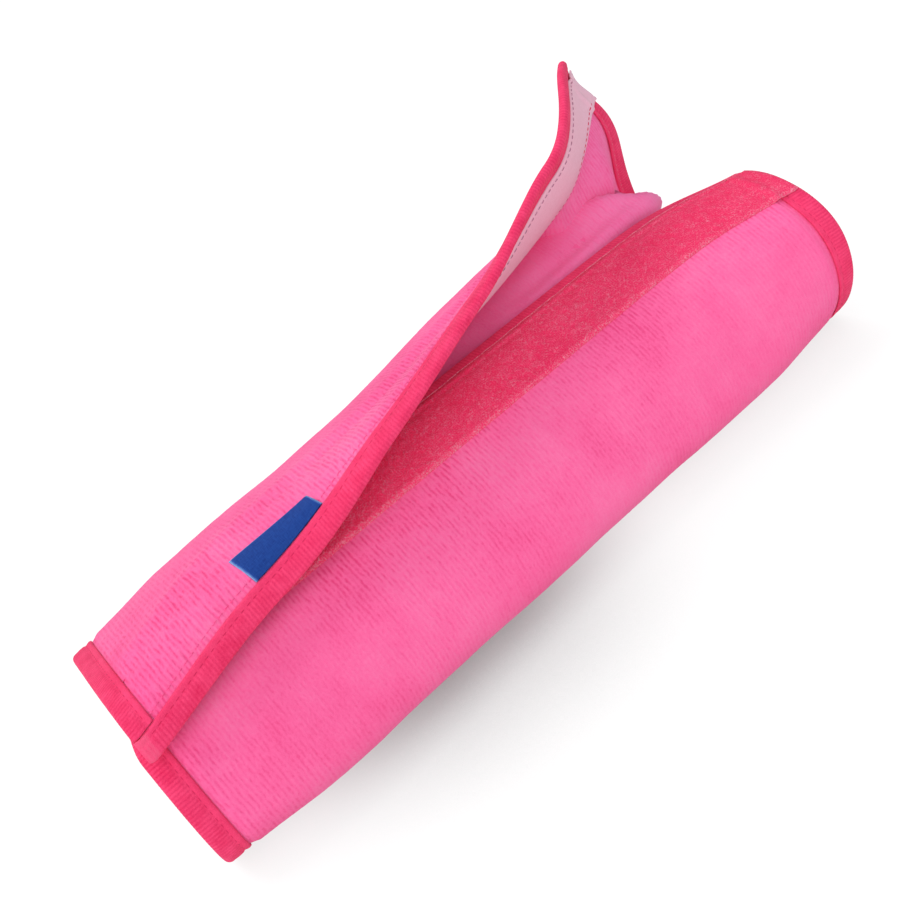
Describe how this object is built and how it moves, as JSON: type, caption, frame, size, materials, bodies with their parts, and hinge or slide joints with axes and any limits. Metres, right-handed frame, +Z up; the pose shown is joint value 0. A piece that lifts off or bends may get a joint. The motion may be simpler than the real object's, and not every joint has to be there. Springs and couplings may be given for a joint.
{
  "type": "seat belt pad",
  "caption": "Padded plush sleeve that wraps round a car seat belt: closed at one end by hook and loop tape, standing open at the other, with ribbed bindings.",
  "frame": {"origin": "on the surface that the pad lies on, under the middle of its bounding box", "axes": "+X along the pad from its closed end to its open end, +Y from the front panel towards the back and its flap, +Z up"},
  "size_m": [0.2848, 0.1106, 0.1136],
  "materials": {
    "plush": "short plush pile, pink",
    "lining_plush": "short plush pile, pink",
    "filling": "white fibre filling",
    "binding": "ribbed knit binding, deep pink",
    "hook_tape": "woven hook tape, pale pink",
    "loop_tape": "napped loop tape, deep pink",
    "label": "woven label, dark blue, bare"
  },
  "bodies": {
    "root": {"outer_cover": "plush", "inner_lining": "lining_plush", "filling": "filling", "binding_flap_edge": "binding", "binding_front_edge": "binding", "binding_left_end": "binding", "binding_right_end": "binding", "hook_tape": "hook_tape", "loop_tape": "loop_tape", "label": "label"}
  },
  "joints": []
}
